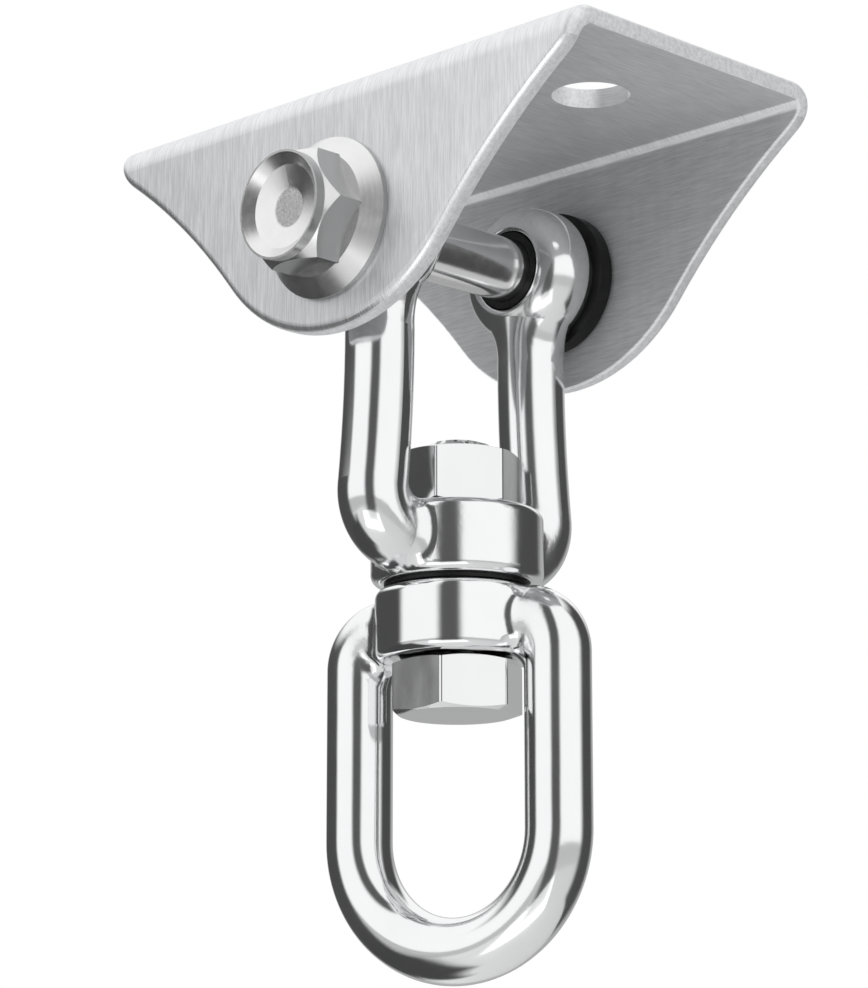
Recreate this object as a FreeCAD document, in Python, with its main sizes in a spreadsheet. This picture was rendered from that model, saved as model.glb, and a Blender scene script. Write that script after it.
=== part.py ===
import FreeCAD, Part
import math
import os
import Sketcher

# Ceiling hanger with a swinging jaw and a swivelling ring.
# Frame: origin at the middle of the bracket's top face, X along the bracket, Y along the pivot bolt, Z up.

SIZES = (
    ("plate_len", 100, "bracket length"),
    ("plate_wid", 55, "bracket width over both wings"),
    ("sheet_thk", 3, "sheet thickness"),
    ("bend_in", 1.5, "inner radius of the two folds"),
    ("corner_r", 7.7, "round of the wing's upper corner"),
    ("corner_drop", 0.6, "straight end of the wing above that round"),
    ("flare_r", 120, "hollow flank of the wing"),
    ("lobe_r", 29.5, "round foot of the wing"),
    ("lobe_mid", 10.2, "drop of the foot's centre below the top face"),
    ("edge_out", 1.4, "rolled outer edge of the sheet"),
    ("edge_in", 0.5, "broken inner edge of the sheet"),
    ("screw_d", 12, "screw hole"),
    ("screw_pitch", 57, "distance between the screw holes"),
    ("pivot_drop", 22.5, "drop of the pivot below the top face"),
    ("pivot_d", 10, "pivot bolt shank"),
    ("pivot_slack", 0.1, "radial slack of the shank in the wings"),
    ("seat_gap", 0.02, "gap under a tightened head"),
    ("flange_d", 25, "flange of the pivot bolt"),
    ("flange_rim", 0.9, "height of the flange's rim"),
    ("flange_rise", 2.9, "height where the flange meets the hex"),
    ("head_af", 17, "pivot bolt hex across flats"),
    ("head_high", 10.6, "pivot bolt head with its flange"),
    ("head_rim_d", 16.8, "round rim on top of the head"),
    ("head_collar", 1.6, "round collar on top of the head's hex"),
    ("head_cone", 1.3, "rise of the head's chamfer cone per radius"),
    ("rim_wide", 0.35, "width of the head's rim"),
    ("dish_d", 12.9, "step in the head's dish"),
    ("dish_deep", 1.3, "depth of the dish at its step"),
    ("dish_mid_d", 5.8, "flat centre of the dish"),
    ("dish_mid_deep", 2.3, "depth of the flat centre"),
    ("lock_flange_d", 22, "flange of the lock nut"),
    ("lock_high", 12, "lock nut height with its collar"),
    ("lock_hex_high", 9, "lock nut height up to the end of its hex"),
    ("insert_d", 13, "locking ring outside"),
    ("insert_high", 2, "locking ring height"),
    ("lock_lip", 0.6, "lip of the lock nut over its ring"),
    ("lip_gap", 0.8, "radial gap between that lip and the bolt"),
    ("collar_wall", 0.9, "wall of the lock nut's collar"),
    ("collar_bevel", 0.8, "bevel of that collar"),
    ("bolt_past", 3, "bolt end past the lock nut"),
    ("pivot_root_d", 8.4, "thread root of the pivot bolt's bare end"),
    ("end_bevel", 0.7, "bevel of a bolt's end"),
    ("run_gap", 0.05, "radial running clearance"),
    ("side_gap", 0.3, "side play between bush and wing"),
    ("face_gap", 0.15, "end play of the swivel"),
    ("bush_d", 12.4, "bush sleeve outside"),
    ("bush_flange_d", 22.6, "bush flange"),
    ("bush_short", 0.6, "bush end inside its eye"),
    ("bush_rim", 0.5, "bevel of the bush flange"),
    ("bush_flange_thk", 3, "bush flange thickness"),
    ("eye_d", 22, "jaw eye outside"),
    ("eye_thk", 12.3, "jaw eye thickness before its seat is faced"),
    ("eye_seat", 4.4, "bush seat from the middle of the eye"),
    ("eye_lip", 0.9, "round of the eye's inner lip"),
    ("spot_gap", 0.4, "spot face past the bush flange"),
    ("flank_r", 8, "hollow flank between an eye and its arm"),
    ("arm_lead", 1.5, "straight arm below the flanks"),
    ("arm_d", 10.6, "jaw arm"),
    ("bow_r", 220, "outward bow of the arms"),
    ("jaw_bend_r", 6.5, "bend at the arm's foot"),
    ("jaw_boss_d", 26.6, "jaw boss"),
    ("jaw_boss_high", 11.4, "jaw boss height"),
    ("jaw_boss_drop", 41.2, "drop of the jaw boss's top below the pivot"),
    ("boss_round", 1.6, "round of the boss rims"),
    ("boss_blend", 3.5, "cast blend between a bar and its boss"),
    ("swivel_d", 12, "swivel bolt shank"),
    ("swivel_af", 18, "swivel hexes across flats"),
    ("swivel_root_d", 10.1, "thread root of the swivel bolt's bare end"),
    ("hex_edge", 0.6, "round of the swivel hexes' upright edges"),
    ("swivel_head_high", 8.2, "swivel bolt head"),
    ("swivel_nut_high", 9, "swivel nut"),
    ("swivel_past", 1.6, "swivel bolt end past its nut"),
    ("hex_cone", 0.35, "rise of the chamfer cone per radius"),
    ("nut_turn", -4, "turn of the swivel nut about Z in degrees"),
    ("head_turn", 0.5, "turn of the swivel bolt's head about Z in degrees"),
    ("washer_d", 22.5, "thrust washer"),
    ("washer_thk", 0.6, "thrust washer thickness"),
    ("ring_boss_d", 25.2, "ring boss"),
    ("ring_boss_high", 11, "ring boss height"),
    ("bar_d", 10.2, "ring bar"),
    ("ring_half", 17.6, "half distance between the ring's bar centres"),
    ("ring_bend_r", 5.5, "bend at the ring's shoulders"),
    ("hang_high", 136, "whole height, from the ceiling to the ring's bottom"),
    ("ring_turn", 13, "turn of the ring about Z at rest in degrees"),
    ("cut_past", 6, "run of a cut past the solid that it cuts"),
)

doc = FreeCAD.newDocument("ceiling_hanger")
sheet = doc.addObject("Spreadsheet::Sheet", "sizes")
for row, (alias, value, note) in enumerate(SIZES, start=1):
    sheet.set(f"A{row}", note)
    sheet.set(f"B{row}", str(value))
    sheet.setAlias(f"B{row}", alias)
doc.recompute()

NAMES = [alias for alias, _, _ in SIZES]


def bound(text):
    """Expression text with every size name pointing at the sheet."""
    for name in sorted(NAMES, key=len, reverse=True):
        text = text.replace("{" + name + "}", "sizes." + name)
    return text


def number(text):
    """Present value of an expression written with {size} names."""
    return float(sheet.evalExpression(bound(text).replace("sizes.", "")))


# Derived places, as expressions
EYE_OUT = "({plate_wid} / 2 - {sheet_thk} - {side_gap} - {bush_flange_thk})"
ARM_Y = f"({EYE_OUT} - {{eye_seat}})"
EYE_IN = f"({ARM_Y} - {{eye_thk}} / 2)"
FLANK_DROP = "sqrt(({eye_d} / 2 + {flank_r})^2 - ({arm_d} / 2 + {flank_r})^2)"
ARM_TOP = f"(-{{pivot_drop}} - {FLANK_DROP} - {{arm_lead}})"
BOSS_TOP = "(-{pivot_drop} - {jaw_boss_drop})"
BOSS_FOOT = f"({BOSS_TOP} - {{jaw_boss_high}})"
ARM_FOOT = f"({BOSS_TOP} - {{jaw_boss_high}} / 2)"
RING_TOP = f"({BOSS_FOOT} - {{washer_thk}} - {{face_gap}})"
RING_FOOT = f"({RING_TOP} - {{ring_boss_high}})"
RING_LINE = f"({RING_TOP} - {{ring_boss_high}} / 2)"
EYE_ROUND = "({eye_thk} * 0.45)"
FLANGE_ROOT = "({head_af} * 0.56)"
RING_ARC = "(-{hang_high} + {bar_d} / 2 + {ring_half})"
HEAD_TOP = f"({RING_FOOT} - {{face_gap}})"
# The ring's blend has less room where a pocket opens between the boss and the bar's inner side
SHOULDER_GAP = "max(0; {ring_half} - {bar_d} / 2 - {ring_boss_d} / 2)"
RING_BLEND = f"({{boss_blend}} / (1 + {SHOULDER_GAP} / {{boss_round}}))"

# Shares of a size: sections of a neck by their drop, where it ends inside the eye, how much it swells there
NECK_STEPS = (0.93, 0.82, 0.71, 0.6)
NECK_END = 0.4
NECK_SWELL = 0.4
# Shares of a hex's width across flats: the rim that its chamfer leaves, and a reach past its corners
HEX_RIM = 0.95
HEX_REACH = 0.66
# Slack in mm for telling edges by their place
NEAR = 0.3


def new_body(label):
    """Empty body that becomes one piece of the hanger."""
    made = doc.addObject("PartDesign::Body", label)
    made.Label = label
    return made


def origin_part(body, role):
    """One of the body's own origin planes or axes."""
    return next(item for item in body.Origin.OriginFeatures if item.Role == role)


def new_sketch(body, name, role, lift=None):
    """Sketch on an origin plane, moved along its normal by an expression."""
    made = body.newObject("Sketcher::SketchObject", name)
    made.AttachmentSupport = [(origin_part(body, role), "")]
    made.MapMode = "FlatFace"
    if lift:
        made.setExpression("AttachmentOffset.Base.z", bound(lift))
    return made


def fix(sketch, kind, args, text):
    """Dimension in a sketch, tied to the sheet."""
    index = sketch.addConstraint(Sketcher.Constraint(kind, *args, number(text)))
    sketch.setExpression(f"Constraints[{index}]", bound(text))


def pin_point(sketch, geo, end, x, y):
    """Ties one point of a sketch to two expressions."""
    fix(sketch, "DistanceX", (-1, 1, geo, end), x)
    fix(sketch, "DistanceY", (-1, 1, geo, end), y)


def point(x, y):
    """Present position of a pair of expressions."""
    return FreeCAD.Vector(number(x), number(y), 0)


def polygon(sketch, corners):
    """Closed outline of straight lines, every corner tied to the sheet."""
    spots = [point(x, y) for x, y in corners]
    ids = [
        sketch.addGeometry(Part.LineSegment(spots[i], spots[(i + 1) % len(spots)]), False)
        for i in range(len(spots))
    ]
    for i, geo in enumerate(ids):
        sketch.addConstraint(Sketcher.Constraint("Coincident", geo, 2, ids[(i + 1) % len(ids)], 1))
        pin_point(sketch, geo, 1, *corners[i])


def hexagon(sketch, across):
    """Regular hexagon about the origin with two corners on the sketch's X axis."""
    far, near, half = f"{across} / sqrt(3)", f"{across} / sqrt(12)", f"{across} / 2"
    signs = ((1, 0), (1, 1), (-1, 1), (-1, 0), (-1, -1), (1, -1))
    polygon(sketch, [(f"({a}) * {near if b else far}", f"({b}) * {half}") for a, b in signs])


def circle(sketch, x, y, diameter):
    """Circle tied to the sheet by its centre and diameter."""
    geo = sketch.addGeometry(Part.Circle(point(x, y), FreeCAD.Vector(0, 0, 1), number(diameter) / 2), False)
    fix(sketch, "Diameter", (geo,), diameter)
    pin_point(sketch, geo, 3, x, y)


def extrude(body, kind, sketch, length, midplane=False):
    """Pad or Pocket of a sketch."""
    made = body.newObject("PartDesign::" + kind, sketch.Name + "_" + kind.lower())
    made.Profile = sketch
    made.setExpression("Length", bound(length))
    if midplane:
        made.SideType = "Symmetric"
    return made


def turn(body, kind, sketch, axis):
    """Revolution or Groove of a sketch about one of its axes."""
    made = body.newObject("PartDesign::" + kind, sketch.Name + "_" + kind.lower())
    made.Profile = sketch
    made.ReferenceAxis = (sketch, [axis])
    made.Angle = 360
    return made


def soften(body, base, radius, chosen):
    """Fillet of the edges that a test picks out."""
    doc.recompute()
    edges = [f"Edge{i}" for i, edge in enumerate(base.Shape.Edges, start=1) if chosen(edge)]
    made = body.newObject("PartDesign::Fillet", base.Name + "_soft")
    made.Base = (base, edges)
    made.setExpression("Radius", bound(radius))
    return made


def samples(edge, count=9):
    """Points spread evenly over an edge."""
    span = (edge.LastParameter - edge.FirstParameter) / (count - 1)
    return [edge.valueAt(edge.FirstParameter + span * i) for i in range(count)]


def on_boss_side(edge, diameter, foot, top):
    """True where a bar runs into the side of a boss."""
    box = edge.BoundBox
    reach = min(math.hypot(p.x, p.y) for p in samples(edge))
    inside = box.ZMin > number(foot) - NEAR and box.ZMax < number(top) + NEAR
    rim = number(f"{diameter} / 2 - {{boss_round}}")
    return inside and reach > rim - 2 * NEAR and box.ZLength > NEAR


def flank(drop):
    """Half width of an arm at a drop below the pivot, where its flanks run out to the eye."""
    return f"({{arm_d}} / 2 + {{flank_r}} - sqrt({{flank_r}}^2 - ({FLANK_DROP} - {drop})^2))"


def ellipse(sketch, x, y, wide, deep):
    """Ellipse with its long axis along X, tied to the sheet. wide and deep are half axes."""
    centre, a, b = point(x, y), number(wide), number(deep)
    tip, side = centre + FreeCAD.Vector(a, 0, 0), centre + FreeCAD.Vector(0, b, 0)
    geo = sketch.addGeometry(Part.Ellipse(tip, side, centre), False)
    sketch.exposeInternalGeometry(geo)
    pin_point(sketch, geo, 3, x, y)
    sketch.addConstraint(Sketcher.Constraint("Horizontal", geo + 1))
    fix(sketch, "Distance", (geo + 1,), f"2 * {wide}")
    fix(sketch, "Distance", (geo + 2,), f"2 * {deep}")


def upright(edge):
    """True for a straight edge along Z."""
    box = edge.BoundBox
    return box.XLength < 1e-4 and box.YLength < 1e-4


def bracket():
    """One folded sheet: a web with two screw holes and two bell-shaped wings."""
    body = new_body("bracket")
    half, inner = "{plate_wid} / 2", "({plate_wid} / 2 - {sheet_thk})"
    foot = "-({lobe_mid} + {lobe_r} + {cut_past})"
    channel = new_sketch(body, "channel", "YZ_Plane")
    polygon(channel, [
        (f"-{half}", foot), (f"-{half}", "0"), (half, "0"), (half, foot),
        (inner, foot), (inner, "-{sheet_thk}"), (f"-{inner}", "-{sheet_thk}"), (f"-{inner}", foot),
    ])
    pad = extrude(body, "Pad", channel, "{plate_len}", midplane=True)
    thick, wide = number("{sheet_thk}"), number("{plate_wid}") / 2

    def along_x(edge, y, z):
        mid = edge.CenterOfMass
        return abs(abs(mid.y) - y) < 1e-4 and abs(mid.z - z) < 1e-4 and abs(mid.x) < 1e-4

    outer = soften(body, pad, "{bend_in} + {sheet_thk}", lambda e: along_x(e, wide, 0))
    soften(body, outer, "{bend_in}", lambda e: along_x(e, wide - thick, -thick))
    bell = new_sketch(body, "bell", "XZ_Plane")
    bell_outline(bell)
    side, high = "({plate_len} / 2 + {cut_past})", "2 * {cut_past}"
    low = "-({lobe_mid} + {lobe_r} + 2 * {cut_past})"
    polygon(bell, [(f"-{side}", low), (side, low), (side, high), (f"-{side}", high)])
    extrude(body, "Pocket", bell, "{plate_wid} + 2 * {cut_past}", midplane=True)
    pivot = new_sketch(body, "pivot_hole", "XZ_Plane")
    circle(pivot, "0", "-{pivot_drop}", "{pivot_d} + 2 * {pivot_slack}")
    extrude(body, "Pocket", pivot, "{plate_wid} + 2 * {cut_past}", midplane=True)
    screws = new_sketch(body, "screw_holes", "XY_Plane")
    for sign in ("", "-"):
        circle(screws, f"{sign}{{screw_pitch}} / 2", "0", "{screw_d}")
    drilled = extrude(body, "Pocket", screws, "{sheet_thk} + {cut_past}")

    def sheet_edge(edge):
        """Edges of the cut outline: all but the holes and the fold lines."""
        box = edge.BoundBox
        if isinstance(edge.Curve, Part.Circle) and edge.isClosed():
            return False
        along_fold = box.YLength < 1e-4 and box.ZLength < 1e-4
        return not (along_fold and box.XLength > number("{plate_len}") - NEAR)

    def outside(edge):
        """Edges on the outer side of the folded sheet."""
        spots = samples(edge)
        fold = number("{bend_in} + {sheet_thk}")
        return sheet_edge(edge) and all(
            abs(p.y) > wide - NEAR or p.z > -NEAR
            or abs(math.hypot(abs(p.y) - wide + fold, p.z + fold) - fold) < NEAR for p in spots)

    def inside(edge):
        """Edges on the inner side, away from the thickness."""
        spots = samples(edge)
        return sheet_edge(edge) and all(abs(p.y) < wide - thick + NEAR and p.z < NEAR - thick for p in spots)

    rolled = soften(body, drilled, "{edge_out}", outside)
    soften(body, rolled, "{edge_in}", inside)
    return body


def bell_outline(sketch):
    """Bell shape of the wings: round foot, hollow flanks, rounded upper corners."""
    half, mid = number("{plate_len}") / 2, number("{lobe_mid}")
    r_c, r_f, r_l, drop = (number("{%s}" % n) for n in ("corner_r", "flare_r", "lobe_r", "corner_drop"))
    top = number("{cut_past}")
    corner, lobe = FreeCAD.Vector(half - r_c, -drop, 0), FreeCAD.Vector(0, -mid, 0)
    gap = corner.sub(lobe)
    span, reach_l, reach_c = gap.Length, r_f + r_l, r_f + r_c
    along = (span ** 2 + reach_l ** 2 - reach_c ** 2) / (2 * span)
    across = math.sqrt(reach_l ** 2 - along ** 2)
    unit = gap.multiply(1 / span)
    flare = lobe + unit * along + FreeCAD.Vector(unit.y, -unit.x, 0) * across
    join_c = corner + (flare - corner) * (r_c / reach_c)
    join_l = lobe + (flare - lobe) * (r_l / reach_l)

    def arc(centre, radius, start, end):
        spin = [math.atan2(p.y - centre.y, p.x - centre.x) for p in (start, end)]
        ring = Part.Circle(centre, FreeCAD.Vector(0, 0, 1), radius)
        return sketch.addGeometry(Part.ArcOfCircle(ring, *spin), False)

    def flip(p):
        return FreeCAD.Vector(-p.x, p.y, 0)

    edge = FreeCAD.Vector(half, -drop, 0)
    tip = FreeCAD.Vector(half, top, 0)
    lines = [
        sketch.addGeometry(Part.LineSegment(a, b), False)
        for a, b in ((tip, flip(tip)), (edge, tip), (flip(tip), flip(edge)))
    ]
    corner_r = arc(corner, r_c, join_c, edge)
    flare_r = arc(flare, r_f, join_c, join_l)
    foot = arc(lobe, r_l, flip(join_l), join_l)
    flare_l = arc(flip(flare), r_f, flip(join_l), flip(join_c))
    corner_l = arc(flip(corner), r_c, flip(edge), flip(join_c))
    cap, right, left = lines
    link = sketch.addConstraint
    link(Sketcher.Constraint("Coincident", right, 2, cap, 1))
    link(Sketcher.Constraint("Coincident", cap, 2, left, 1))
    link(Sketcher.Constraint("Tangent", right, 1, corner_r, 2))
    link(Sketcher.Constraint("Tangent", corner_r, 1, flare_r, 1))
    link(Sketcher.Constraint("Tangent", flare_r, 2, foot, 2))
    link(Sketcher.Constraint("Tangent", foot, 1, flare_l, 1))
    link(Sketcher.Constraint("Tangent", flare_l, 2, corner_l, 2))
    link(Sketcher.Constraint("Tangent", corner_l, 1, left, 2))
    link(Sketcher.Constraint("Vertical", right))
    link(Sketcher.Constraint("Vertical", left))
    pin_point(sketch, cap, 1, "{plate_len} / 2", "{cut_past}")
    pin_point(sketch, cap, 2, "-{plate_len} / 2", "{cut_past}")
    for geo, end in ((right, 1), (left, 2)):
        fix(sketch, "DistanceY", (-1, 1, geo, end), "-{corner_drop}")
    pin_point(sketch, foot, 3, "0", "-{lobe_mid}")
    for geo, radius in ((corner_r, "corner_r"), (corner_l, "corner_r"), (flare_r, "flare_r"),
                        (flare_l, "flare_r"), (foot, "lobe_r")):
        fix(sketch, "Radius", (geo,), "{%s}" % radius)


def hex_chamfer(body, name, plane, axis, across, base, end, flat, cone="{hex_cone}", collar=None):
    """Cone that takes the corners off the end of a hex, below a round collar if one is given.

    flat is the diameter of the rim that it leaves.
    """
    reach = f"({across} * {HEX_REACH})"
    rise = f"(({reach} - {flat} / 2) * {cone})"
    sign = 1 if number(end) > number(base) else -1
    spots = [(f"{flat} / 2", end), (reach, end), (reach, f"{end} - ({sign}) * ({rise} + {collar or 0})")]
    if collar:
        spots.append((f"{flat} / 2", f"{end} - ({sign}) * {collar}"))
    sketch = new_sketch(body, name, plane)
    polygon(sketch, [(y, x) for x, y in spots] if plane == "YZ_Plane" else spots)
    return turn(body, "Groove", sketch, axis)


def pivot_bolt():
    """Flanged hex bolt along Y with a dished head at -Y."""
    body = new_body("pivot_bolt")
    seat = "(-{plate_wid} / 2 - {seat_gap})"
    rim, rise, top = (f"({seat} - {{{n}}})" for n in ("flange_rim", "flange_rise", "head_high"))
    bare = "({plate_wid} / 2 + {seat_gap} + {lock_high} - {lock_lip})"
    end = f"({bare} + {{lock_lip}} + {{bolt_past}})"
    head = new_sketch(body, "head_hex", "XZ_Plane", f"-{rim}")
    hexagon(head, "{head_af}")
    extrude(body, "Pad", head, "{head_high} - {flange_rim}")
    hex_chamfer(body, "head_rim", "YZ_Plane", "H_Axis", "{head_af}", seat, top, "{head_rim_d}",
                "{head_cone}", "{head_collar}")
    shank = new_sketch(body, "shank", "YZ_Plane")
    polygon(shank, [
        (rise, "0"), (rise, FLANGE_ROOT), (rim, "{flange_d} / 2"), (seat, "{flange_d} / 2"),
        (seat, "{pivot_d} / 2"), (bare, "{pivot_d} / 2"), (bare, "{pivot_root_d} / 2"),
        (f"{end} - {{end_bevel}}", "{pivot_root_d} / 2"), (end, "{pivot_root_d} / 2 - {end_bevel}"),
        (end, "0"),
    ])
    turn(body, "Revolution", shank, "H_Axis")
    dish = new_sketch(body, "dish", "YZ_Plane")
    polygon(dish, [
        (f"{top} - {{cut_past}}", "0"), (f"{top} - {{cut_past}}", "{head_rim_d} / 2 - {rim_wide}"),
        (top, "{head_rim_d} / 2 - {rim_wide}"), (f"{top} + {{dish_deep}}", "{dish_d} / 2"),
        (f"{top} + {{dish_mid_deep}}", "{dish_mid_d} / 2"), (f"{top} + {{dish_mid_deep}}", "0"),
    ])
    turn(body, "Groove", dish, "H_Axis")
    body.setExpression("Placement.Base.z", bound("-{pivot_drop}"))
    return body


def pivot_nut():
    """Flanged lock nut at +Y, with a collar that holds the locking ring."""
    body = new_body("pivot_nut")
    seat = "({plate_wid} / 2 + {seat_gap})"
    bore = "({pivot_d} / 2 + {seat_gap})"
    hex_end, end = f"({seat} + {{lock_hex_high}})", f"({seat} + {{lock_high}})"
    lip = f"({end} - {{lock_lip}})"
    ring = f"({lip} - {{insert_high}})"
    pocket = "({insert_d} / 2 + {seat_gap})"
    flange = new_sketch(body, "lock_flange", "YZ_Plane")
    polygon(flange, [
        (seat, bore), (seat, "{lock_flange_d} / 2"), (f"{seat} + {{flange_rim}}", "{lock_flange_d} / 2"),
        (f"{seat} + {{flange_rise}}", FLANGE_ROOT), (f"{seat} + {{flange_rise}}", bore),
    ])
    turn(body, "Revolution", flange, "H_Axis")
    hexes = new_sketch(body, "lock_hex", "XZ_Plane", f"-{hex_end}")
    hexagon(hexes, "{head_af}")
    extrude(body, "Pad", hexes, "{lock_hex_high} - {flange_rim}")
    rim = f"({{head_af}} * {HEX_RIM})"
    hex_chamfer(body, "lock_rim", "YZ_Plane", "H_Axis", "{head_af}", seat, hex_end, rim)
    collar = new_sketch(body, "lock_collar", "YZ_Plane")
    outside, inside = "({insert_d} / 2 + {collar_wall})", "({pivot_d} / 2 + {lip_gap})"
    root = f"({hex_end} - {{collar_wall}})"
    polygon(collar, [
        (root, bore), (root, outside), (f"{end} - {{collar_bevel}}", outside),
        (end, f"{outside} - {{collar_bevel}}"), (end, inside), (lip, inside),
        (lip, pocket), (ring, pocket), (ring, bore),
    ])
    turn(body, "Revolution", collar, "H_Axis")
    hollow = new_sketch(body, "lock_bore", "YZ_Plane")
    below = f"{seat} - {{cut_past}}"
    polygon(hollow, [(below, "0"), (below, bore), (ring, bore), (ring, "0")])
    turn(body, "Groove", hollow, "H_Axis")
    room = new_sketch(body, "insert_room", "YZ_Plane")
    polygon(room, [(ring, "0"), (ring, pocket), (lip, pocket), (lip, "0")])
    turn(body, "Groove", room, "H_Axis")
    body.setExpression("Placement.Base.z", bound("-{pivot_drop}"))
    return body


def nut_insert():
    """Plastic locking ring inside the lock nut's collar."""
    body = new_body("nut_insert")
    end = "({plate_wid} / 2 + {seat_gap} + {lock_high} - {lock_lip})"
    sketch = new_sketch(body, "insert", "YZ_Plane")
    low, high = f"({end} - {{insert_high}} + {{seat_gap}})", f"({end} - {{seat_gap}})"
    bore, outside = "({pivot_d} / 2 + {seat_gap})", "{insert_d} / 2"
    polygon(sketch, [(low, bore), (low, outside), (high, outside), (high, bore)])
    turn(body, "Revolution", sketch, "H_Axis")
    body.setExpression("Placement.Base.z", bound("-{pivot_drop}"))
    return body


def bush(label, sign):
    """Flanged bush in one eye of the jaw."""
    body = new_body(label)
    sketch = new_sketch(body, label + "_section", "YZ_Plane")
    bore, sleeve = "({pivot_d} / 2 + {run_gap})", "{bush_d} / 2"
    start, seat = f"({EYE_IN} + {{bush_short}})", f"({EYE_OUT} + {{seat_gap}})"
    end, wide = f"({EYE_OUT} + {{bush_flange_thk}})", "{bush_flange_d} / 2"
    spots = [
        (start, bore), (start, sleeve), (seat, sleeve), (seat, wide),
        (f"({end} - {{bush_rim}})", wide), (end, f"{wide} - {{bush_rim}}"), (end, bore),
    ]
    polygon(sketch, [(f"({sign}) * {y}", r) for y, r in spots])
    turn(body, "Revolution", sketch, "H_Axis")
    body.setExpression("Placement.Base.z", bound("-{pivot_drop}"))
    return body


def rounded_box(sketch, x0, x1, y0, y1, rounds):
    """Upright rectangle; rounds gives the radius at (x0 y0), (x1 y0), (x1 y1), (x0 y1), or None."""
    xs, ys = (x0, x1, x1, x0), (y0, y0, y1, y1)
    turns = ((1, 0), (0, 1), (-1, 0), (0, -1))
    size = [number(r) if r else 0.0 for r in rounds]
    ids = []
    for i in range(4):
        j = (i + 1) % 4
        step = FreeCAD.Vector(*turns[i], 0)
        begin = point(xs[i], ys[i]) + step * size[i]
        finish = point(xs[j], ys[j]) - step * size[j]
        ids.append(sketch.addGeometry(Part.LineSegment(begin, finish), False))
        sketch.addConstraint(Sketcher.Constraint("Horizontal" if i % 2 == 0 else "Vertical", ids[i]))
    for i in range(4):
        before = ids[i - 1]
        if size[i]:
            step, back = FreeCAD.Vector(*turns[i], 0), FreeCAD.Vector(*turns[i - 1], 0)
            centre = point(xs[i], ys[i]) + (step - back) * size[i]
            ring = Part.Circle(centre, FreeCAD.Vector(0, 0, 1), size[i])
            start = math.atan2(*(point(xs[i], ys[i]) - back * size[i] - centre)[1::-1])
            arc = sketch.addGeometry(Part.ArcOfCircle(ring, start, start + math.pi / 2), False)
            sketch.addConstraint(Sketcher.Constraint("Tangent", before, 2, arc, 1))
            sketch.addConstraint(Sketcher.Constraint("Tangent", arc, 2, ids[i], 1))
            fix(sketch, "Radius", (arc,), rounds[i])
        else:
            sketch.addConstraint(Sketcher.Constraint("Coincident", before, 2, ids[i], 1))
    fix(sketch, "DistanceY", (-1, 1, ids[0], 1), y0)
    fix(sketch, "DistanceX", (-1, 1, ids[1], 1), x1)
    fix(sketch, "DistanceY", (-1, 1, ids[2], 1), y1)
    fix(sketch, "DistanceX", (-1, 1, ids[3], 1), x0)


def swept_bar(body, name, path, section):
    """Round bar along every edge of a path sketch."""
    doc.recompute()
    made = body.newObject("PartDesign::AdditivePipe", name)
    made.Profile = section
    made.Spine = (path, [f"Edge{i + 1}" for i in range(len(path.Shape.Edges))])
    return made


def arc_between(sketch, centre, radius, first, last):
    """Arc from one angle to another, counted anticlockwise in degrees."""
    ring = Part.Circle(FreeCAD.Vector(*centre, 0), FreeCAD.Vector(0, 0, 1), radius)
    return sketch.addGeometry(Part.ArcOfCircle(ring, math.radians(first), math.radians(last)), False)


def tangents(sketch, pairs):
    """Smooth joins between the ends of curves."""
    for one, end, other, start in pairs:
        sketch.addConstraint(Sketcher.Constraint("Tangent", one, end, other, start))


def arm_path(sketch):
    """Middle line of both arms and of the bridge that joins them."""
    y_top, z_top, z_foot = number(ARM_Y), number(ARM_TOP), number(ARM_FOOT)
    bow, bend = number("{bow_r}"), number("{jaw_bend_r}")
    rise = z_top - z_foot - bend
    y_bend = y_top + bow - math.sqrt((bow + bend) ** 2 - rise ** 2)
    lean = math.degrees(math.asin(rise / (bow + bend)))
    foot = [FreeCAD.Vector(s * y_bend, z_foot, 0) for s in (-1, 1)]
    bow_l = arc_between(sketch, (-y_top - bow, z_top), bow, -lean, 0)
    bend_l = arc_between(sketch, (-y_bend, z_foot + bend), bend, 180 - lean, 270)
    bridge = sketch.addGeometry(Part.LineSegment(*foot), False)
    bend_r = arc_between(sketch, (y_bend, z_foot + bend), bend, -90, lean)
    bow_r = arc_between(sketch, (y_top + bow, z_top), bow, 180, 180 + lean)
    tangents(sketch, (
        (bow_l, 1, bend_l, 1), (bend_l, 2, bridge, 1), (bridge, 2, bend_r, 1), (bend_r, 2, bow_r, 2),
    ))
    sketch.addConstraint(Sketcher.Constraint("Horizontal", bridge))
    fix(sketch, "DistanceY", (-1, 1, bridge, 1), ARM_FOOT)
    for radius, pair in (("{bow_r}", (bow_l, bow_r)), ("{jaw_bend_r}", (bend_l, bend_r))):
        for geo in pair:
            fix(sketch, "Radius", (geo,), radius)
    pin_point(sketch, bow_l, 2, f"-{ARM_Y}", ARM_TOP)
    pin_point(sketch, bow_r, 1, ARM_Y, ARM_TOP)
    for geo in (bow_l, bow_r):
        fix(sketch, "DistanceY", (-1, 1, geo, 3), ARM_TOP)


def boss(body, name, diameter, foot, top, round_size):
    """Round boss about Z with rounded rims."""
    sketch = new_sketch(body, name, "XZ_Plane")
    rounded_box(sketch, "0", f"{diameter} / 2", foot, top, (None, round_size, round_size, None))
    return turn(body, "Revolution", sketch, "V_Axis")


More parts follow.
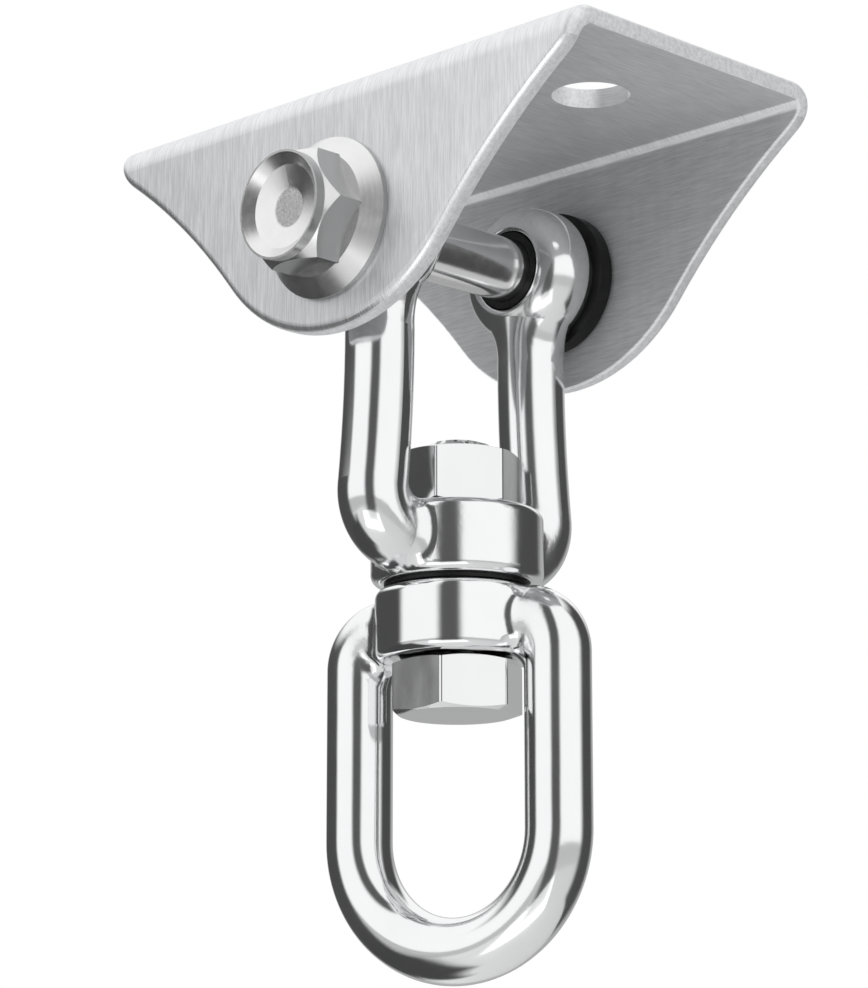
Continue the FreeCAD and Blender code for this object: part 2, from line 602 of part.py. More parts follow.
def jaw():
    """Cast fork: two eyes, two bowed round arms and a boss for the swivel bolt."""
    body = new_body("jaw")
    path = new_sketch(body, "arm_path", "YZ_Plane")
    arm_path(path)
    section = new_sketch(body, "arm_section", "XY_Plane", ARM_TOP)
    circle(section, "0", f"-{ARM_Y}", "{arm_d}")
    swept_bar(body, "arms", path, section)
    for side, sign in (("near", "-"), ("far", "")):
        root = new_sketch(body, f"neck_root_{side}", "XY_Plane", ARM_TOP)
        circle(root, "0", f"{sign}{ARM_Y}", "{arm_d}")
        steps = []
        for i, share in enumerate((*NECK_STEPS, NECK_END)):
            drop = f"({FLANK_DROP} * {share})"
            wide = f"({{eye_d}} * {NECK_END})" if share == NECK_END else flank(drop)
            deep = f"({{arm_d}} / 2 * {1 + NECK_SWELL * (1 - share) ** 2})"
            step = new_sketch(body, f"neck_{side}_{i}", "XY_Plane", f"-{{pivot_drop}} - {drop}")
            ellipse(step, "0", f"{sign}{ARM_Y}", wide, deep)
            steps.append(step)
        neck = body.newObject("PartDesign::AdditiveLoft", f"neck_{side}")
        neck.Profile = root
        neck.Sections = steps
    for side, sign in (("near", "-"), ("far", "")):
        eye = new_sketch(body, f"eye_{side}", "YZ_Plane")
        eye.setExpression("AttachmentOffset.Base.y", bound("-{pivot_drop}"))
        ends = [f"({sign}{ARM_Y} {way} {{eye_thk}} / 2)" for way in "-+"]
        rounded_box(eye, *ends, "{pivot_d} / 4", "{eye_d} / 2", (None, None, EYE_ROUND, EYE_ROUND))
        turn(body, "Revolution", eye, "H_Axis")
    whole = boss(body, "jaw_boss", "{jaw_boss_d}", BOSS_FOOT, BOSS_TOP, "{boss_round}")
    whole = soften(body, whole, "{boss_blend}",
                   lambda e: on_boss_side(e, "{jaw_boss_d}", BOSS_FOOT, BOSS_TOP))
    wide = "({bush_flange_d} / 2 + {spot_gap})"
    for side, sign in (("near", "-1"), ("far", "1")):
        face = new_sketch(body, f"spot_face_{side}", "YZ_Plane")
        face.setExpression("AttachmentOffset.Base.y", bound("-{pivot_drop}"))
        near, far = f"({sign}) * {EYE_OUT}", f"({sign}) * ({EYE_OUT} + {{cut_past}})"
        polygon(face, [(near, "0"), (near, wide), (far, wide), (far, "0")])
        turn(body, "Groove", face, "H_Axis")
    bore = new_sketch(body, "eye_bore", "XZ_Plane")
    circle(bore, "0", "-{pivot_drop}", "{bush_d} + 2 * {seat_gap}")
    drilled = extrude(body, "Pocket", bore, "{plate_wid}", midplane=True)

    def inner_lip(edge):
        """Inner mouths of the two eye bores."""
        spots = samples(edge)
        drop, radius = number("{pivot_drop}"), number("{bush_d} / 2 + {seat_gap}")
        on_bore = all(abs(math.hypot(p.x, p.z + drop) - radius) < NEAR / 10 for p in spots)
        return on_bore and edge.BoundBox.YLength < NEAR and abs(edge.CenterOfMass.y) < number(ARM_Y)

    soften(body, drilled, "{eye_lip}", inner_lip)
    swivel = new_sketch(body, "jaw_swivel_bore", "XY_Plane", f"{BOSS_TOP} + {{cut_past}}")
    circle(swivel, "0", "0", "{swivel_d} + 2 * {seat_gap}")
    extrude(body, "Pocket", swivel, "{jaw_boss_high} + 2 * {cut_past}")
    return body


def ring_path(sketch):
    """Middle line of the ring's bar: square shoulders, straight sides, half-round bottom."""
    half, bend = number("{ring_half}"), number("{ring_bend_r}")
    line, foot = number(RING_LINE), number(RING_ARC)

    def straight(x0, z0, x1, z1):
        ends = FreeCAD.Vector(x0, z0, 0), FreeCAD.Vector(x1, z1, 0)
        return sketch.addGeometry(Part.LineSegment(*ends), False)

    side_r = straight(half, line - bend, half, foot)
    bottom = arc_between(sketch, (0, foot), half, 180, 360)
    side_l = straight(-half, foot, -half, line - bend)
    bend_l = arc_between(sketch, (bend - half, line - bend), bend, 90, 180)
    top = straight(bend - half, line, half - bend, line)
    bend_r = arc_between(sketch, (half - bend, line - bend), bend, 0, 90)
    tangents(sketch, (
        (side_r, 2, bottom, 2), (bottom, 1, side_l, 1), (side_l, 2, bend_l, 2),
        (bend_l, 1, top, 1), (top, 2, bend_r, 2), (bend_r, 1, side_r, 1),
    ))
    for geo in (side_r, side_l):
        sketch.addConstraint(Sketcher.Constraint("Vertical", geo))
    sketch.addConstraint(Sketcher.Constraint("Horizontal", top))
    fix(sketch, "DistanceY", (-1, 1, top, 1), RING_LINE)
    fix(sketch, "Radius", (bottom,), "{ring_half}")
    for geo in (bend_l, bend_r):
        fix(sketch, "Radius", (geo,), "{ring_bend_r}")
    pin_point(sketch, bottom, 3, "0", RING_ARC)


def turned_body(label, angle):
    """Body turned about Z by an angle from the sheet."""
    body = new_body(label)
    body.Placement = FreeCAD.Placement(
        FreeCAD.Vector(0, 0, 0), FreeCAD.Rotation(FreeCAD.Vector(0, 0, 1), number(angle)))
    body.setExpression("Placement.Rotation.Angle", bound(angle))
    return body


def ring():
    """Cast oblong eye with a boss that turns on the swivel bolt."""
    body = turned_body("ring", "{ring_turn}")
    path = new_sketch(body, "bar_path", "XZ_Plane")
    ring_path(path)
    section = new_sketch(body, "bar_section", "XY_Plane", f"{RING_LINE} - {{ring_bend_r}}")
    circle(section, "{ring_half}", "0", "{bar_d}")
    swept_bar(body, "bar", path, section)
    whole = boss(body, "ring_boss", "{ring_boss_d}", RING_FOOT, RING_TOP, "{boss_round}")
    soften(body, whole, RING_BLEND, lambda e: on_boss_side(e, "{ring_boss_d}", RING_FOOT, RING_TOP))
    bore = new_sketch(body, "ring_swivel_bore", "XY_Plane", f"{RING_TOP} + {{cut_past}}")
    circle(bore, "0", "0", "{swivel_d} + 2 * {run_gap}")
    extrude(body, "Pocket", bore, "{ring_boss_high} + 2 * {cut_past}")
    return body


def swivel_bolt():
    """Hex bolt from below: its head hangs inside the ring, its end is in the jaw."""
    body = turned_body("swivel_bolt", "{head_turn}")
    foot = f"({HEAD_TOP} - {{swivel_head_high}})"
    end = f"({BOSS_TOP} + {{seat_gap}} + {{swivel_nut_high}} + {{swivel_past}})"
    head = new_sketch(body, "swivel_head", "XY_Plane", foot)
    hexagon(head, "{swivel_af}")
    prism = extrude(body, "Pad", head, "{swivel_head_high}")
    soften(body, prism, "{hex_edge}", upright)
    for name, base, tip in (("head_lower", HEAD_TOP, foot), ("head_upper", foot, HEAD_TOP)):
        rim = f"({{swivel_af}} * {HEX_RIM})"
        hex_chamfer(body, name + "_rim", "XZ_Plane", "V_Axis", "{swivel_af}", base, tip, rim)
    shank = new_sketch(body, "swivel_shank", "XZ_Plane")
    root, bare = f"({foot} + {{swivel_head_high}} / 2)", f"({end} - {{swivel_past}})"
    polygon(shank, [
        ("0", root), ("{swivel_d} / 2", root), ("{swivel_d} / 2", bare),
        ("{swivel_root_d} / 2", bare), ("{swivel_root_d} / 2", f"{end} - {{end_bevel}}"),
        ("{swivel_root_d} / 2 - {end_bevel}", end), ("0", end),
    ])
    turn(body, "Revolution", shank, "V_Axis")
    return body


def swivel_nut():
    """Hex nut on the jaw's boss, chamfered at both ends."""
    body = turned_body("swivel_nut", "{nut_turn}")
    foot = f"({BOSS_TOP} + {{seat_gap}})"
    top = f"({foot} + {{swivel_nut_high}})"
    hexes = new_sketch(body, "swivel_hex", "XY_Plane", foot)
    hexagon(hexes, "{swivel_af}")
    prism = extrude(body, "Pad", hexes, "{swivel_nut_high}")
    soften(body, prism, "{hex_edge}", upright)
    for name, base, tip in (("nut_lower", top, foot), ("nut_upper", foot, top)):
        rim = f"({{swivel_af}} * {HEX_RIM})"
        hex_chamfer(body, name + "_rim", "XZ_Plane", "V_Axis", "{swivel_af}", base, tip, rim)
    bore = new_sketch(body, "nut_bore", "XY_Plane", f"{top} + {{cut_past}}")
    circle(bore, "0", "0", "{swivel_d} + 2 * {seat_gap}")
    extrude(body, "Pocket", bore, "{swivel_nut_high} + 2 * {cut_past}")
    return body


def thrust_washer():
    """Thin plastic washer between the two bosses."""
    body = new_body("thrust_washer")
    sketch = new_sketch(body, "washer_section", "XZ_Plane")
    inside, outside = "{swivel_d} / 2 + {run_gap}", "{washer_d} / 2"
    rounded_box(sketch, inside, outside, f"{BOSS_FOOT} - {{washer_thk}}", f"{BOSS_FOOT} - {{seat_gap}}",
                (None, None, None, None))
    turn(body, "Revolution", sketch, "V_Axis")
    return body


PIECES = [
    bracket(), pivot_bolt(), pivot_nut(), nut_insert(), bush("bush_near", "-1"), bush("bush_far", "1"),
    jaw(), swivel_nut(), thrust_washer(), ring(), swivel_bolt(),
]
doc.recompute()
for item in doc.Objects:
    if "Invalid" in item.State or "Error" in item.State:
        raise RuntimeError(f"{item.Label} is not built: {item.State}")
os.makedirs("parts", exist_ok=True)
for piece in PIECES:
    shape = piece.Shape
    if shape.isNull() or not shape.isValid() or len(shape.Solids) != 1:
        raise RuntimeError(f"{piece.Label} is not one good solid")
    shape.exportStep(f"parts/{piece.Label}.step")
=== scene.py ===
"""Dressed model of a swivelling ceiling hook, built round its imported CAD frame."""

import logging
import math
from dataclasses import dataclass, field
from enum import Enum
from typing import Any

import bpy
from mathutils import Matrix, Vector


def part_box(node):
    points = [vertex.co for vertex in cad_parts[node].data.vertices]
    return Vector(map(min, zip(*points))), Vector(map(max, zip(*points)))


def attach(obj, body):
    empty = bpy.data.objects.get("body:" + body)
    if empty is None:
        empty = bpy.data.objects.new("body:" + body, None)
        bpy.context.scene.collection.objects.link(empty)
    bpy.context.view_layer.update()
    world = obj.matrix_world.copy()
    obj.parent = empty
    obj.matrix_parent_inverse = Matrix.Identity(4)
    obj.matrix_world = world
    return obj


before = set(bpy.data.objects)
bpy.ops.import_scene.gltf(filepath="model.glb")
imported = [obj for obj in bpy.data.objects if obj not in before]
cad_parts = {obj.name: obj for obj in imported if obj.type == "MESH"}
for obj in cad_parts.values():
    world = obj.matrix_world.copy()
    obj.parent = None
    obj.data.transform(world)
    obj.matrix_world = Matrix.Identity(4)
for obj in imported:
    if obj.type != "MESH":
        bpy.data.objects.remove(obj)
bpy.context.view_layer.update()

LOG = logging.getLogger("ceiling_hook")
IMAGE_LONG_SIDE = 988
SENSOR_MM = 36.0
MM = 0.001

Socket = bpy.types.NodeSocket
Point = tuple[float, float, float]


class Body(Enum):
    """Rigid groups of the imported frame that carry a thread."""

    MOUNTING = "mounting"
    JAW = "swinging_jaw"


class Slot(Enum):
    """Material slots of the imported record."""

    BOLT = "satin_bolt"
    CASTING = "polished_casting"


class Graph:
    """Shader nodes of one material, added step by step."""

    def __init__(self, name: str) -> None:
        """Start an empty material with a Principled shader.

        Args:
            name: name of the material.
        """
        self.material = bpy.data.materials.new(name)
        self.material.use_nodes = True
        self.tree = self.material.node_tree
        self.tree.nodes.clear()
        output = self.tree.nodes.new("ShaderNodeOutputMaterial")
        self.shader = self.tree.nodes.new("ShaderNodeBsdfPrincipled")
        self.tree.links.new(self.shader.outputs["BSDF"], output.inputs["Surface"])

    def put(self, socket: Socket, value: Any) -> None:
        """Link or set one input.

        Args:
            socket: input to fill.
            value: another node's output, or a plain value.
        """
        if isinstance(value, bpy.types.NodeSocket):
            self.tree.links.new(value, socket)
        else:
            socket.default_value = value

    def surface(self, **values: Any) -> None:
        """Fill inputs of the Principled shader.

        Args:
            **values: socket names with underscores for spaces, and what goes there.
        """
        for name, value in values.items():
            self.put(self.shader.inputs[name.replace("_", " ")], value)

    def node(self, kind: str, inputs: dict[int | str, Any], **settings: Any) -> bpy.types.Node:
        """Add one node.

        Args:
            kind: Blender's node type.
            inputs: input socket to value or output.
            **settings: properties of the node.

        Returns:
            The new node.
        """
        made = self.tree.nodes.new(kind)
        for name, value in settings.items():
            setattr(made, name, value)
        for key, value in inputs.items():
            self.put(made.inputs[key], value)
        return made

    def math(self, operation: str, *terms: Any) -> Socket:
        """Combine numbers.

        Args:
            operation: Blender's name of the operation.
            *terms: outputs or numbers.

        Returns:
            The result.
        """
        return self.node("ShaderNodeMath", dict(enumerate(terms)), operation=operation).outputs[0]

    def times(self, *terms: Any) -> Socket:
        """Multiply numbers.

        Args:
            *terms: outputs or numbers, two or more.

        Returns:
            The product.
        """
        product = terms[0]
        for term in terms[1:]:
            product = self.math("MULTIPLY", product, term)
        return product

    def reach(self, first: Socket, second: Socket) -> Socket:
        """Give the distance from an axis.

        Args:
            first: distance along one way square to the axis.
            second: distance along the other way.

        Returns:
            The radius.
        """
        return self.math("SQRT", self.math("ADD", self.times(first, first), self.times(second, second)))

    def span(
        self, value: Socket, low: float, high: float, to_low: float = 0.0, to_high: float = 1.0
    ) -> Socket:
        """Map a number smoothly from one span to another, clamped.

        Args:
            value: number to map.
            low: start of the source span.
            high: end of the source span.
            to_low: result at low.
            to_high: result at high.

        Returns:
            The mapped number.
        """
        inputs = {"Value": value, "From Min": low, "From Max": high, "To Min": to_low, "To Max": to_high}
        return self.node("ShaderNodeMapRange", inputs, interpolation_type="SMOOTHSTEP").outputs["Result"]

    def band(self, value: Socket, low: float, high: float) -> Socket:
        """Give a soft band.

        Args:
            value: number to map.
            low: start of the band.
            high: end of the band.

        Returns:
            1 midway and 0 at both ends and past them.
        """
        middle = (low + high) / 2
        return self.times(self.span(value, low, middle), self.span(value, high, middle))

    def place(self) -> tuple[Socket, list[Socket]]:
        """Give the place on the object.

        Returns:
            The point in metres, and its three coordinates.
        """
        point = self.node("ShaderNodeTexCoord", {}).outputs["Object"]
        parts = self.node("ShaderNodeSeparateXYZ", {0: point})
        return point, list(parts.outputs)

    def facing(self) -> list[Socket]:
        """Give the way that the surface faces in the object's frame.

        Returns:
            The three coordinates of the normal.
        """
        normal = self.node("ShaderNodeTexCoord", {}).outputs["Normal"]
        return list(self.node("ShaderNodeSeparateXYZ", {0: normal}).outputs)

    def grain(self, point: Socket, scale: Point, detail: float = 2.0, rough: float = 0.5) -> Socket:
        """Give a noise stretched along the axes.

        Args:
            point: place in metres.
            scale: cells per metre along X, Y and Z.
            detail: number of finer layers.
            rough: strength of the finer layers.

        Returns:
            A number about 0.5.
        """
        moved = self.node("ShaderNodeVectorMath", {0: point, 1: scale}, operation="MULTIPLY").outputs[0]
        inputs = {"Vector": moved, "Scale": 1.0, "Detail": detail, "Roughness": rough}
        return self.node("ShaderNodeTexNoise", inputs).outputs["Fac"]

    def blend(self, share: Any, first: Any, second: Any) -> Socket:
        """Mix two numbers.

        Args:
            share: 0 gives the first, 1 the second.
            first: number or output.
            second: number or output.

        Returns:
            The mixed number.
        """
        made = self.node("ShaderNodeMix", {}, data_type="FLOAT")
        for key, value in (("Factor", share), ("A", first), ("B", second)):
            self.put(made.inputs[key], value)
        return made.outputs["Result"]

    def grey(self, value: Socket, tint: Point = (1.0, 1.0, 1.0)) -> Socket:
        """Turn a number into a colour.

        Args:
            value: brightness.
            tint: factor for red, green and blue.

        Returns:
            The colour.
        """
        made = self.node("ShaderNodeVectorMath", {0: tint}, operation="SCALE")
        self.put(made.inputs["Scale"], value)
        return made.outputs[0]

    def bump(self, height: Socket, strength: float, distance: float, below: Socket | None = None) -> Socket:
        """Roughen the surface.

        Args:
            height: height from 0 to 1.
            strength: share of the effect.
            distance: depth in metres.
            below: normal from an earlier bump.

        Returns:
            The new normal.
        """
        inputs: dict[int | str, Any] = {"Height": height, "Strength": strength, "Distance": distance}
        if below is not None:
            inputs["Normal"] = below
        return self.node("ShaderNodeBump", inputs).outputs["Normal"]


@dataclass(frozen=True)
class SheetZones:
    """Masks from 0 to 1 for the kinds of surface on the folded sheet."""

    outer: Socket
    outside: Socket
    web: Socket
    painted_fold_highlight: Socket
    wing: Socket
    rim: Socket
    roll: Socket


@dataclass(frozen=True)
class BrushedSheet:
    """Folded stainless sheet.

    The outside has fine upright brushing and the inside mill grain. The inner folds carry a painted
    highlight, pale and not metallic, the edges are ground, and the grains are given in cells per metre.
    """

    outer_tone: float = 0.88
    inner_tone: float = 0.55
    cut_tone: float = 0.76
    # painted light: the web's cut ends are coloured lighter than the same cut on the wings
    painted_light_end_tone: float = 0.95
    roll_tone: float = 0.97
    # painted highlight: the inner folds are coloured pale to stand in for a bright reflection
    painted_highlight_fold_tone: float = 0.95
    tint: Point = (0.99, 1.0, 1.015)
    outer_metal: float = 0.9
    inner_metal: float = 0.20
    edge_metal: float = 0.30
    # painted highlight: the inner folds are made not metallic, so they stay pale
    painted_highlight_fold_metal: float = 0.0
    outer_rough: float = 0.45
    inner_rough: float = 0.5
    edge_rough: float = 0.45
    roll_rough: float = 0.22
    web_below: float = -5.0 * MM
    upright_cells: Point = (5200.0, 600.0, 230.0)
    crossing_cells: Point = (3600.0, 230.0, 600.0)
    lengthwise_cells: Point = (230.0, 600.0, 3600.0)
    broad_cells: Point = (500.0, 120.0, 60.0)
    pit_cells: Point = (1500.0, 1500.0, 1500.0)
    cloud_cells: Point = (45.0, 45.0, 45.0)
    brush_depth: float = 0.02 * MM

    def zones(self, g: Graph) -> SheetZones:
        """Tell the kinds of surface apart by where they lie and which way they face.

        Args:
            g: shader nodes to add to.

        Returns:
            The masks.
        """
        _, (_, y, z) = g.place()
        across, side, up = g.facing()
        outward = g.times(g.math("SIGN", y), side)
        outer = g.span(outward, 0.25, 0.75)
        wing = g.math("LESS_THAN", z, self.web_below)
        edge = g.times(g.span(g.math("ABSOLUTE", side), 0.55, 0.25), wing)
        return SheetZones(
            outer=outer,
            outside=g.math("MAXIMUM", outer, g.span(up, 0.3, 0.8)),
            web=g.span(g.math("ABSOLUTE", up), 0.5, 0.8),
            # inner folds, which carry a painted highlight
            painted_fold_highlight=g.times(g.span(up, -0.15, -0.45), g.span(outward, -0.15, -0.45)),
            wing=wing,
            rim=g.math("MAXIMUM", edge, g.span(g.math("ABSOLUTE", across), 0.4, 0.7)),
            roll=g.times(g.span(outward, 0.97, 0.9), g.span(outward, 0.4, 0.6), wing),
        )

    def lines(self, g: Graph, point: Socket, zones: SheetZones) -> Socket:
        """Brush each kind of surface along its own way, and pit the rim.

        Args:
            g: shader nodes to add to.
            point: place in metres.
            zones: masks of the surfaces.

        Returns:
            A number about 0.5.
        """
        upright = g.grain(point, self.upright_cells, 3.0, 0.6)
        crossing = g.grain(point, self.crossing_cells, 3.0, 0.6)
        lengthwise = g.grain(point, self.lengthwise_cells, 3.0, 0.6)
        pits = g.grain(point, self.pit_cells, 3.0, 0.7)
        brushed = g.blend(zones.outer, g.blend(zones.web, lengthwise, crossing), upright)
        return g.blend(zones.rim, brushed, pits)

    def tone(self, g: Graph, point: Socket, zones: SheetZones, lines: Socket) -> Socket:
        """Give the brightness of the steel.

        Args:
            g: shader nodes to add to.
            point: place in metres.
            zones: masks of the surfaces.
            lines: brushing.

        Returns:
            The brightness.
        """
        broad = g.grain(point, self.broad_cells)
        cloud = g.grain(point, self.cloud_cells)
        face = g.blend(zones.outside, self.inner_tone, self.outer_tone)
        face = g.blend(zones.roll, face, self.roll_tone)
        # the wings' cut edges keep their own tone; the web's ends get a painted light tone
        cut_and_painted_end = g.blend(zones.wing, self.painted_light_end_tone, self.cut_tone)
        # painted highlight: the inner folds get the pale fold tone
        base = g.blend(zones.painted_fold_highlight, g.blend(zones.rim, face, cut_and_painted_end), self.painted_highlight_fold_tone)
        swing = g.span(lines, 0.25, 0.75, 0.86, 1.12)
        return g.times(base, swing, g.span(cloud, 0.2, 0.8, 0.98, 1.02), g.span(broad, 0.2, 0.8, 0.97, 1.03))

    def material(self) -> bpy.types.Material:
        """Make the finish.

        Returns:
            The material.
        """
        g = Graph("brushed_sheet_finish")
        point, _ = g.place()
        zones = self.zones(g)
        lines = self.lines(g, point, zones)
        tone = self.tone(g, point, zones, lines)
        rough = g.blend(zones.outside, self.inner_rough, self.outer_rough)
        rough = g.blend(zones.rim, g.blend(zones.roll, rough, self.roll_rough), self.edge_rough)
        rough = g.math("ADD", rough, g.span(lines, 0.2, 0.8, -0.06, 0.08))
        metal = g.blend(zones.outside, self.inner_metal, self.outer_metal)
        # painted highlight: the inner folds are not metallic
        metal = g.blend(zones.painted_fold_highlight, g.blend(zones.rim, metal, self.edge_metal), self.painted_highlight_fold_metal)
        normal = g.bump(lines, 0.3, self.brush_depth)
        g.surface(Base_Color=g.grey(tone, self.tint), Roughness=rough, Metallic=metal, Normal=normal)
        return g.material


@dataclass(frozen=True)
class PolishedCasting:
    """Mirror-polished cast stainless steel, with the cast skin left where the bars run into the boss.

    The skin lies between two levels and two radii. A piece without skin keeps the levels given here, far
    below the object. The grains are given in cells per metre.
    """

    name: str
    tone: float = 0.93
    tint: Point = (0.995, 1.0, 1.005)
    skin_low: float = -1.0
    skin_high: float = -0.9
    skin_from: float = 12.5 * MM
    skin_to: float = 19.0 * MM
    skin_rough: float = 0.16
    wave_cells: Point = (110.0, 110.0, 70.0)
    wave_depth: float = 0.6 * MM
    pebble_cells: Point = (900.0, 900.0, 900.0)
    pebble_depth: float = 0.12 * MM
    polished_share: float = 0.04
    haze_cells: Point = (60.0, 60.0, 40.0)

    def material(self) -> bpy.types.Material:
        """Make the finish.

        Returns:
            The material.
        """
        g = Graph(self.name)
        point, (x, y, z) = g.place()
        around = g.band(g.reach(x, y), self.skin_from, self.skin_to)
        skin = g.times(around, g.band(z, self.skin_low, self.skin_high))
        wave = g.grain(point, self.wave_cells, 2.0, 0.4)
        pebble = g.grain(point, self.pebble_cells, 3.0, 0.6)
        haze = g.grain(point, self.haze_cells, 3.0, 0.6)
        rough = g.math("ADD", g.span(haze, 0.3, 0.75, 0.09, 0.16), g.times(skin, self.skin_rough))
        tone = g.times(g.span(haze, 0.25, 0.75, 0.97, 1.02), self.tone)
        height = g.times(pebble, g.math("ADD", skin, self.polished_share))
        normal = g.bump(height, 0.5, self.pebble_depth, g.bump(wave, 0.12, self.wave_depth))
        g.surface(Base_Color=g.grey(tone, self.tint), Roughness=rough, Metallic=1.0, Normal=normal)
        return g.material


@dataclass(frozen=True)
class SatinBolt:
    """Turned and rolled bolt steel about the cross axis, with a grainy forged centre and ground hex flats in
    painted shade.

    The turning marks are given in radians per metre and the grains in cells per metre.
    """

    axis_z: float = -22.5 * MM
    centre_r: float = 3.0 * MM
    head_y: float = -27.0 * MM
    flat_r: float = 7.0 * MM
    tone: float = 0.86
    # painted shade: the hex flats are coloured darker to stand in for dark reflections
    painted_shade_flat_tone: float = 0.50
    centre_rough: float = 0.42
    head_rough: float = 0.09
    turning: float = 9000.0
    turned_share: float = 0.025
    worn_cells: Point = (420.0, 420.0, 420.0)
    worn_share: float = 0.12
    grit_cells: Point = (4200.0, 900.0, 4200.0)
    grit_share: float = 2.0
    mark_depth: float = 0.05 * MM

    def material(self) -> bpy.types.Material:
        """Make the finish.

        Returns:
            The material.
        """
        g = Graph("satin_bolt_finish")
        point, (x, y, z) = g.place()
        radius = g.reach(x, g.math("SUBTRACT", z, self.axis_z))
        turned = g.math("SINE", g.times(radius, self.turning))
        worn = g.grain(point, self.worn_cells, 4.0, 0.65)
        grit = g.grain(point, self.grit_cells, 3.0, 0.6)
        on_head = g.math("LESS_THAN", y, self.head_y)
        centre = g.times(g.span(radius, self.centre_r * 1.08, self.centre_r * 0.95), on_head)
        lying = g.span(g.math("ABSOLUTE", g.facing()[1]), 0.12, 0.04)
        # hex flats of the head and nut, which get a painted shade
        painted_shade_flats = g.times(lying, g.math("GREATER_THAN", radius, self.flat_r))
        forged = g.blend(centre, 1.0, g.span(grit, 0.3, 0.7, 0.55, 0.95))
        # painted shade on the hex flats
        tone = g.blend(painted_shade_flats, self.tone, self.painted_shade_flat_tone)
        tone = g.times(g.span(worn, 0.3, 0.75, 0.97, 1.02), tone, forged)
        rough = g.math("ADD", g.span(worn, 0.3, 0.75, 0.13, 0.18), g.times(on_head, self.head_rough))
        rough = g.blend(centre, rough, self.centre_rough)
        height = g.math("ADD", g.times(turned, self.turned_share), g.times(worn, self.worn_share))
        height = g.blend(centre, height, g.times(grit, self.grit_share))
        normal = g.bump(height, 0.35, self.mark_depth)
        g.surface(Base_Color=g.grey(tone), Roughness=rough, Metallic=1.0, Normal=normal)
        return g.material


@dataclass(frozen=True)
class BlackNylon:
    """Moulded black nylon with a fine satin skin. The grains are given in cells per metre."""

    tone: float = 0.008
    tint: Point = (1.0, 1.0, 1.03)
    gloss: float = 0.3
    skin_cells: Point = (1500.0, 1500.0, 1500.0)
    skin_depth: float = 0.03 * MM
    scuff_cells: Point = (240.0, 240.0, 240.0)

    def material(self) -> bpy.types.Material:
        """Make the finish.

        Returns:
            The material.
        """
        g = Graph("black_nylon_finish")
        point, _ = g.place()
        skin = g.grain(point, self.skin_cells, 3.0, 0.6)
        scuff = g.grain(point, self.scuff_cells, 3.0, 0.6)
        tone = g.times(g.span(scuff, 0.3, 0.75, 0.8, 1.5), self.tone)
        rough = g.span(scuff, 0.3, 0.7, 0.30, 0.46)
        normal = g.bump(skin, 0.25, self.skin_depth)
        g.surface(Base_Color=g.grey(tone, self.tint), Roughness=rough, Normal=normal)
        g.surface(Specular_IOR_Level=self.gloss)
        return g.material


def dress(node: str, material: bpy.types.Material) -> None:
    """Give a CAD node its finish.

    Args:
        node: name of the node.
        material: finish to put in every slot.
    """
    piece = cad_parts[node]
    for slot in piece.material_slots:
        slot.material = material
    LOG.info("dressed %s with %s", node, material.name)


@dataclass(frozen=True)
class Thread:
    """Helical ridge on the bare end of a bolt, wound on its root and fading out at both ends."""

    name: str
    root_r: float
    crest_r: float
    pitch: float
    base_share: float = 0.8
    crest_share: float = 0.16
    sunk: float = 0.06 * MM
    steps_per_turn: int = 48
    fade_turns: float = 0.25
    sharp_deg: float = 35.0

    def profile(self, fade: float) -> list[tuple[float, float]]:
        """Give the ridge's section.

        Args:
            fade: share of the full height.

        Returns:
            Pairs of place along the axis and radius, in metres.
        """
        low, high = self.root_r - self.sunk, self.root_r + (self.crest_r - self.root_r) * fade
        base, crest = self.pitch * self.base_share / 2, self.pitch * self.crest_share / 2
        return [(-base, low), (-crest, high), (crest, high), (base, low)]

    def build(self, start: Vector, end: Vector, body: Body, slot: Slot, material: bpy.types.Material) -> None:
        """Wind the ridge and fix it to its bolt.

        Args:
            start: middle of the ridge's first section on the bolt's axis.
            end: middle of its last section.
            body: rigid group that it rides on.
            slot: not used.
            material: finish.
        """
        axis = (end - start).normalized()
        first = axis.orthogonal().normalized()
        second = axis.cross(first)
        length = (end - start).length
        count = max(int(self.steps_per_turn * length / self.pitch), 4)
        points: list[Vector] = []
        for i in range(count + 1):
            share = i / count
            turn = math.tau * length * share / self.pitch
            way = first * math.cos(turn) + second * math.sin(turn)
            runs = min(share, 1.0 - share) * count / (self.steps_per_turn * self.fade_turns)
            for along, radius in self.profile(min(runs, 1.0)):
                points.append(start + axis * (length * share + along) + way * radius)
        faces = [(0, 1, 2, 3), tuple(count * 4 + k for k in (3, 2, 1, 0))]
        for i in range(count):
            near, far = i * 4, i * 4 + 4
            faces += [(near + k, far + k, far + (k + 1) % 4, near + (k + 1) % 4) for k in range(4)]
        mesh = bpy.data.meshes.new(self.name)
        mesh.from_pydata(points, [], faces)
        mesh.polygons.foreach_set("use_smooth", [True] * len(mesh.polygons))
        mesh.set_sharp_from_angle(angle=math.radians(self.sharp_deg))
        mesh.materials.append(material)
        piece = bpy.data.objects.new(self.name, mesh)
        bpy.context.scene.collection.objects.link(piece)
        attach(piece, body.value)
        LOG.info("wound %s on %s", self.name, body.value)


@dataclass
class Mounting:
    """Ceiling bracket with its cross bolt and lock nut."""

    sheet: BrushedSheet = field(default_factory=BrushedSheet)
    bolt: SatinBolt = field(default_factory=SatinBolt)
    plastic: BlackNylon = field(default_factory=BlackNylon)
    thread: Thread = Thread("pivot_thread", 4.2 * MM, 4.95 * MM, 1.5 * MM)
    end_bevel: float = 0.7 * MM

    def build(self) -> None:
        """Dress the pieces that stay on the ceiling, and thread the cross bolt's end."""
        dress("bracket", self.sheet.material())
        steel = self.bolt.material()
        dress("pivot_bolt", steel)
        dress("pivot_nut", steel)
        dress("nut_insert", self.plastic.material())
        insert_low, insert_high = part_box("nut_insert")
        axis_z = (insert_low[2] + insert_high[2]) / 2
        start = Vector((0.0, insert_high[1], axis_z))
        end = Vector((0.0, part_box("pivot_bolt")[1][1] - self.end_bevel, axis_z))
        self.thread.build(start, end, Body.MOUNTING, Slot.BOLT, steel)


